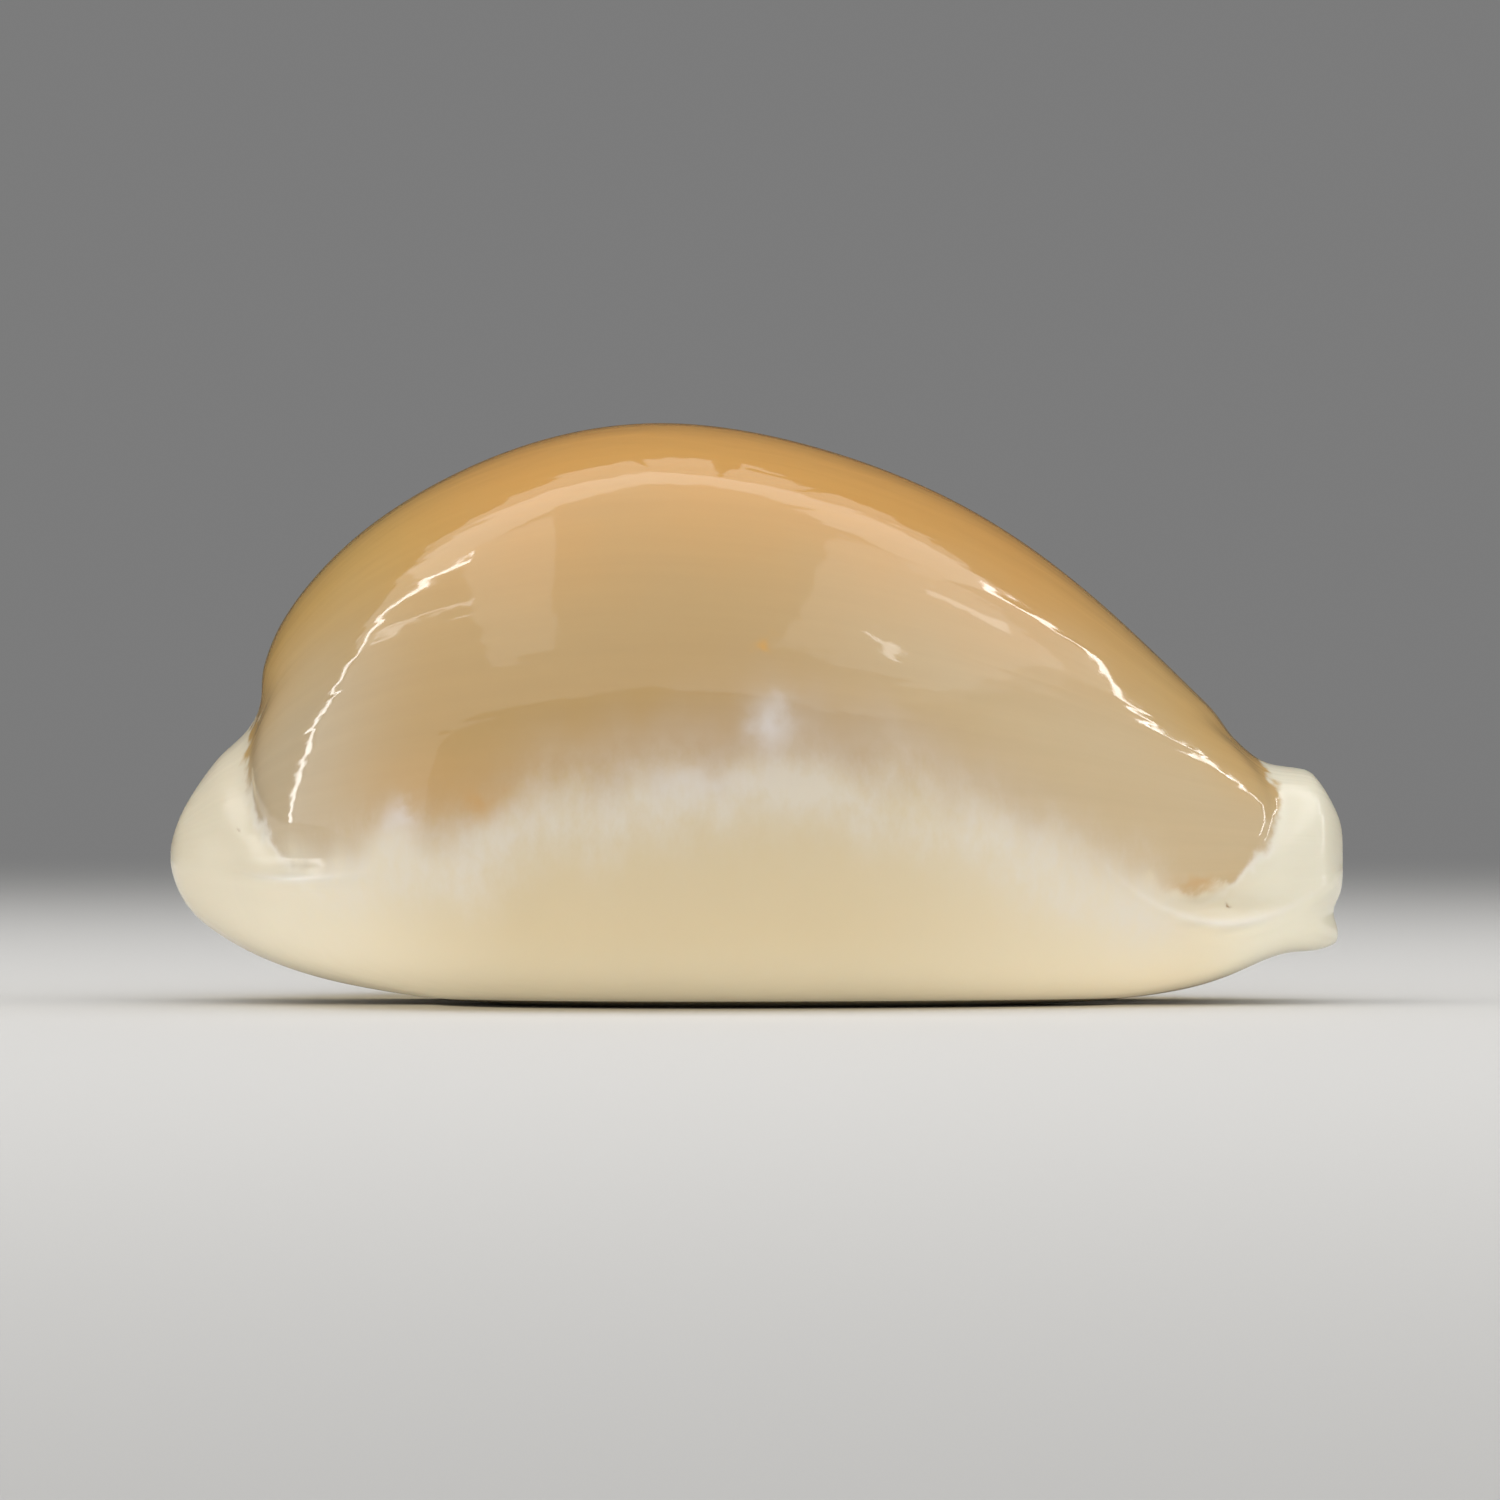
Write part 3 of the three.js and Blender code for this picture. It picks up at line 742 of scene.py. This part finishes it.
def add_haze(n, colour, above_edge, dome_share):
    """A bluish white haze with fine threads along the glaze's edge, and a lilac veil above it."""
    veiled = n.multiply(dome_share, n.bump_of(n.x, **LILAC_PLACE))
    lilac = n.multiply(n.multiply(n.bump_of(above_edge, **LILAC_BAND), LILAC_STRENGTH), veiled)
    colour = n.mix(lilac, colour, LILAC)
    threads = n.add(n.fibres, n.swing(n.clouds, HAZE_CLOUDS))
    haze = n.math("MINIMUM", n.multiply(n.bump_of(above_edge, **HAZE_BAND), threads), HAZE_LIMIT)
    inside_ends = n.multiply(n.smooth(n.x, *HAZE_REAR_SPAN), n.smooth(n.x, *HAZE_FRONT_SPAN))
    return n.mix(n.multiply(haze, inside_ends), colour, HAZE_WHITE)


def flakes(n, line, heights):
    """White flakes where the callus ends along the line of an end lobe."""
    from_line = n.subtract(n.frayed_x, line)
    return n.multiply(n.bump_of(from_line, 0.0, FLAKE_WIDTH), n.bump_of(n.z, **heights))


def add_marks(n, colour):
    """The lip side's puffs, spots and tints, with shade painted in the front hollow and in the pits."""
    frayed_z = n.add(n.z, n.fray)
    for x, z, length, tall, strength, mark_colour in MARKS:
        shape = n.multiply(n.bump_of(n.frayed_x, x, length), n.bump_of(frayed_z, z, tall))
        share = n.multiply(n.multiply(shape, strength), n.lip_side)
        colour = n.mix(share, colour, mark_colour)
    return colour


def add_rims_and_painted_highlights(n, colour, relief):
    """The thin rims where the callus ends at the two ends, raised as a bump, with a white highlight painted
    along each.
    """
    for rim in (REAR_RIM, FRONT_RIM):
        line = n.bent_line(n.x, rim["x"], rim["z"], rim["bend"])
        across = n.bump_of(n.subtract(n.z, line), 0.0, rim["width"])
        along = n.bump_of(n.x, rim["x"], rim["reach"])
        shape = n.multiply(n.multiply(across, along), n.lip_side)
        relief = n.add(relief, n.multiply(shape, rim["height"]))
        # A white highlight painted along the rim
        colour = n.mix(n.multiply(shape, RIM_HIGHLIGHT_STRENGTH), colour, FLAKE_AND_HIGHLIGHT_WHITE)
    return colour, relief


def fine_relief(n, above_line):
    """Long low swells and small steps on the dome, and a faint unevenness all over, in millimetres."""
    swells = n.multiply(n.growth_noise(**SWELLS), SWELL_HEIGHT)
    terraces = n.multiply(n.smooth(n.growth_noise(**TERRACES), *TERRACE_SPAN), TERRACE_HEIGHT)
    on_dome = n.multiply(n.smooth(above_line, *RIPPLED_EDGE_SPAN), n.bump_of(n.x, **RIPPLED_PLACE))
    unevenness = n.multiply(n.noise(n.millimetres, **CALLUS_BUMPS), CALLUS_HEIGHT)
    return n.add(n.multiply(n.add(swells, terraces), on_dome), unevenness)


def set_gloss(n, dome_share):
    """A clear gloss on the dome, a softer one on the callus, and a little light under the surface."""
    rough = n.subtract(CALLUS_ROUGHNESS, n.multiply(dome_share, CALLUS_ROUGHNESS - GLAZE_ROUGHNESS))
    n.put(n.add(rough, n.swing(n.mottle, UNEVEN_ROUGHNESS)), n.shader.inputs["Roughness"])
    n.shader.inputs["IOR"].default_value = SHELL_IOR
    n.shader.inputs["Subsurface Weight"].default_value = SUBSURFACE_WEIGHT
    n.shader.inputs["Subsurface Radius"].default_value = SUBSURFACE_COLOURS
    n.shader.inputs["Subsurface Scale"].default_value = SUBSURFACE_DEPTH * MM


def set_bump(n, relief):
    """The relief, in millimetres, as a bump of the surface."""
    bump = n.tree.nodes.new("ShaderNodeBump")
    bump.inputs["Strength"].default_value = 1.0
    bump.inputs["Distance"].default_value = 1.0
    n.put(n.multiply(relief, MM), bump.inputs["Height"])
    n.put(bump.outputs[0], n.shader.inputs["Normal"])


def shell_material():
    """A glazed dome over a cream margin and base, with the end lobes lying over the dome."""
    n = ShellNodes()
    above_line = n.subtract(n.z, n.along_shell(GLAZE_EDGE))
    edge_lobes = n.noise(n.place_times(EDGE_LOBE_FACTORS), **EDGE_LOBES)
    above_edge = n.subtract(above_line, n.swing(edge_lobes, EDGE_LOBE_SWING))
    rear_line = lobe_line(n, REAR_LOBE_X, REAR_LOBE_TOP, REAR_FURROW)
    front_line = lobe_line(n, FRONT_FLANGE_X, FRONT_FLANGE_TOP, FRONT_FURROW)
    past_rear = n.smooth(n.subtract(n.frayed_x, rear_line), *LOBE_EDGE_SPAN)
    before_front = n.smooth(n.subtract(front_line, n.frayed_x), *LOBE_EDGE_SPAN)
    dome_share = n.multiply(glaze_share(n, above_edge), n.multiply(past_rear, before_front))

    colour = n.mix(dome_share, callus_colour(n), dome_colour(n))
    colour = add_haze(n, colour, above_edge, dome_share)
    all_flakes = n.add(flakes(n, rear_line, REAR_FLAKES), flakes(n, front_line, FRONT_FLAKES))
    colour = n.mix(n.multiply(all_flakes, FLAKE_STRENGTH), colour, FLAKE_AND_HIGHLIGHT_WHITE)
    colour = add_marks(n, colour)
    # The rims' relief, and a white highlight painted along them
    colour, relief = add_rims_and_painted_highlights(n, colour, fine_relief(n, above_line))
    n.put(colour, n.shader.inputs["Base Color"])
    set_gloss(n, dome_share)
    set_bump(n, relief)
    return n.material


def add_camera():
    data = bpy.data.cameras.new("camera")
    data.lens = LENS
    data.sensor_width = SENSOR
    distance = VIEW_WIDTH * MM * LENS / SENSOR
    camera = bpy.data.objects.new("camera", data)
    bpy.context.collection.objects.link(camera)
    target = Vector(VIEW_MIDDLE) * MM
    back = Vector((0, -math.cos(CAMERA_ELEVATION), math.sin(CAMERA_ELEVATION)))
    camera.location = target + back * distance
    camera.rotation_euler = (-back).to_track_quat("-Z", "Y").to_euler()
    data.clip_start = CLIP_START
    bpy.context.scene.camera = camera


def add_panel(name, start, end, aim, width, brightness, glossy=True):
    """A flat light between two points, of an even brightness, where 1 is the white of the picture.
    It reaches width across and shines along aim."""
    start, end, aim = Vector(start), Vector(end), Vector(aim)
    length = (end - start).length
    data = bpy.data.lights.new(name, "AREA")
    data.shape = "RECTANGLE"
    data.size = length
    data.size_y = width
    data.energy = brightness * math.pi * length * width
    light = bpy.data.objects.new(name, data)
    bpy.context.collection.objects.link(light)
    along = (end - start).normalized()
    back = -(aim - aim.dot(along) * along).normalized()
    turn = Matrix((along, back.cross(along), back)).transposed()
    light.matrix_world = Matrix.Translation((start + end) / 2) @ turn.to_4x4()
    light.visible_camera = False
    light.visible_glossy = glossy


def add_lights():
    """A tent of soft panels over and in front of the shell, and bright strips along the edges of it."""
    ceiling_y = (TENT_BACK + TENT_FRONT) / 2
    add_panel("ceiling", (TENT_LEFT, ceiling_y, TENT_HEIGHT), (TENT_RIGHT, ceiling_y, TENT_HEIGHT),
              (0, 0, -1), TENT_BACK - TENT_FRONT, CEILING_BRIGHTNESS)
    middle_z = TENT_HEIGHT / 2
    add_panel("front_wall", (TENT_LEFT, TENT_FRONT, middle_z), (TENT_RIGHT, TENT_FRONT, middle_z),
              (0, 1, 0), TENT_HEIGHT, FRONT_BRIGHTNESS)
    add_panel("left_wall", (TENT_LEFT, TENT_FRONT, middle_z), (TENT_LEFT, LEFT_WALL_BACK, middle_z),
              (1, 0, 0), TENT_HEIGHT, LEFT_BRIGHTNESS)
    add_panel("right_wall", (TENT_RIGHT, TENT_FRONT, middle_z), (TENT_RIGHT, RIGHT_WALL_BACK, middle_z),
              (-1, 0, 0), TENT_HEIGHT, RIGHT_BRIGHTNESS)
    for side, corners in (("left", LEFT_STRIP), ("right", RIGHT_STRIP)):
        for number, (start, end) in enumerate(zip(corners, corners[1:])):
            towards_shell = -(Vector(start) + Vector(end))
            add_panel(f"{side}_strip_{number}", start, end, towards_shell, STRIP_WIDTH, STRIP_BRIGHTNESS)
    for number, (start, end) in enumerate(zip(CEILING_ARC, CEILING_ARC[1:])):
        add_panel(f"ceiling_arc_{number}", start, end, (0, 0, -1), CEILING_ARC_WIDTH, CEILING_ARC_BRIGHTNESS)
    for number, (start, end, width, brightness) in enumerate(CEILING_PANELS):
        add_panel(f"ceiling_panel_{number}", start, end, (0, 0, -1), width, brightness)
    add_panel("back_fill", (-BACK_FILL_HALF_LENGTH, BACK_FILL_Y, BACK_FILL_HEIGHT),
              (BACK_FILL_HALF_LENGTH, BACK_FILL_Y, BACK_FILL_HEIGHT),
              (0, -BACK_FILL_Y, -BACK_FILL_HEIGHT), BACK_FILL_WIDTH, BACK_FILL, glossy=False)
    for side, y in (("front", -LOW_FILL_MIDDLE), ("back", LOW_FILL_MIDDLE)):
        start = (-LOW_FILL_HALF_LENGTH, y, LOW_FILL_HEIGHT)
        end = (LOW_FILL_HALF_LENGTH, y, LOW_FILL_HEIGHT)
        add_panel(f"low_{side}_fill", start, end, (0, 0, 1), LOW_FILL_WIDTH, LOW_FILL, glossy=False)


def add_floor():
    """A pale floor that fades into the backdrop's grey away from the shell, so that no horizon shows."""
    mesh = bpy.data.meshes.new("floor")
    mesh.from_pydata([(-FLOOR_REACH, -FLOOR_REACH, 0), (FLOOR_REACH, -FLOOR_REACH, 0),
                      (FLOOR_REACH, FLOOR_REACH, 0), (-FLOOR_REACH, FLOOR_REACH, 0)], [], [(0, 1, 2, 3)])
    floor = bpy.data.objects.new("floor", mesh)
    bpy.context.collection.objects.link(floor)
    n = Nodes("floor_paint")
    n.shader.inputs["Base Color"].default_value = (*FLOOR_COLOUR, 1)
    n.shader.inputs["Roughness"].default_value = FLOOR_ROUGHNESS
    place = n.tree.nodes.new("ShaderNodeTexCoord").outputs["Object"]
    length = n.tree.nodes.new("ShaderNodeVectorMath")
    length.operation = "LENGTH"
    n.put(place, length.inputs[0])
    glow = n.tree.nodes.new("ShaderNodeEmission")
    glow.inputs["Color"].default_value = (*BACKDROP_GREY, 1)
    mixer = n.tree.nodes.new("ShaderNodeMixShader")
    n.put(n.smooth(length.outputs["Value"], FADE_START, FADE_END), mixer.inputs[0])
    n.put(n.shader.outputs[0], mixer.inputs[1])
    n.put(glow.outputs[0], mixer.inputs[2])
    n.put(mixer.outputs[0], n.tree.nodes["Material Output"].inputs["Surface"])
    mesh.materials.append(n.material)


def add_world():
    """Seen by the camera the surroundings are a plain grey. To everything else they are nearly dark."""
    world = bpy.data.worlds.new("studio")
    bpy.context.scene.world = world
    world.use_nodes = True
    nodes, links = world.node_tree.nodes, world.node_tree.links
    seen = nodes.new("ShaderNodeBackground")
    seen.inputs["Color"].default_value = (*BACKDROP_GREY, 1)
    nodes["Background"].inputs["Color"].default_value = (*SURROUND_GREY, 1)
    mixer = nodes.new("ShaderNodeMixShader")
    links.new(nodes.new("ShaderNodeLightPath").outputs["Is Camera Ray"], mixer.inputs[0])
    links.new(nodes["Background"].outputs[0], mixer.inputs[1])
    links.new(seen.outputs[0], mixer.inputs[2])
    links.new(mixer.outputs[0], nodes["World Output"].inputs["Surface"])


def add_shell():
    shell = bpy.data.objects.new("cowrie_shell", shell_mesh())
    bpy.context.collection.objects.link(shell)
    shell.data.materials.append(shell_material())
    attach(shell, "root")
    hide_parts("shell")


add_camera()
add_shell()
add_floor()
add_lights()
add_world()
bpy.context.scene.view_settings.view_transform = "Standard"
